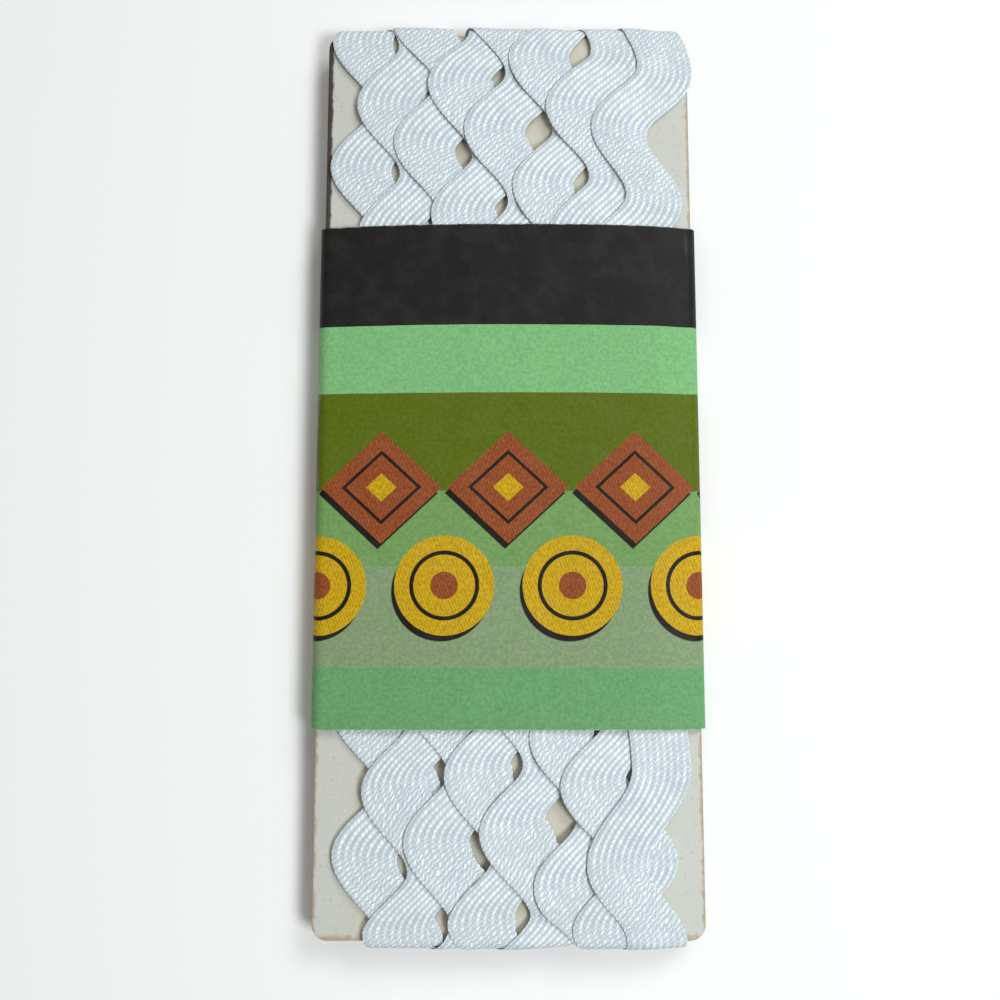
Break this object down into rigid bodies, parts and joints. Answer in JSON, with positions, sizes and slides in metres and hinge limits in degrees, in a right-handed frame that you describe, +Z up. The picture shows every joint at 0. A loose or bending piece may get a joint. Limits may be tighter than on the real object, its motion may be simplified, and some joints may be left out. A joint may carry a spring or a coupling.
{
  "type": "ric rac trim wound on card",
  "caption": "Flat roll of wide white ric rac trim wound lengthwise round a small chipboard card, its turns overlapping, held by a printed paper band.",
  "frame": {"origin": "centre of the roll's box, on the surface that it lies on", "axes": "+Z up out of the face that shows, +Y along the card towards its top, +X to the right"},
  "size_m": [0.0598, 0.1428, 0.0093],
  "materials": {
    "chipboard": "matt, uncoated, faintly flecked, worn pale brown at its cut edge",
    "braid": "matt woven polyester braid with a fine plaited rib",
    "printed_paper": "smooth printed paper, slightly glossy"
  },
  "bodies": {
    "root": {"card": "chipboard", "ric_rac": "braid", "band": "printed_paper"}
  },
  "joints": []
}
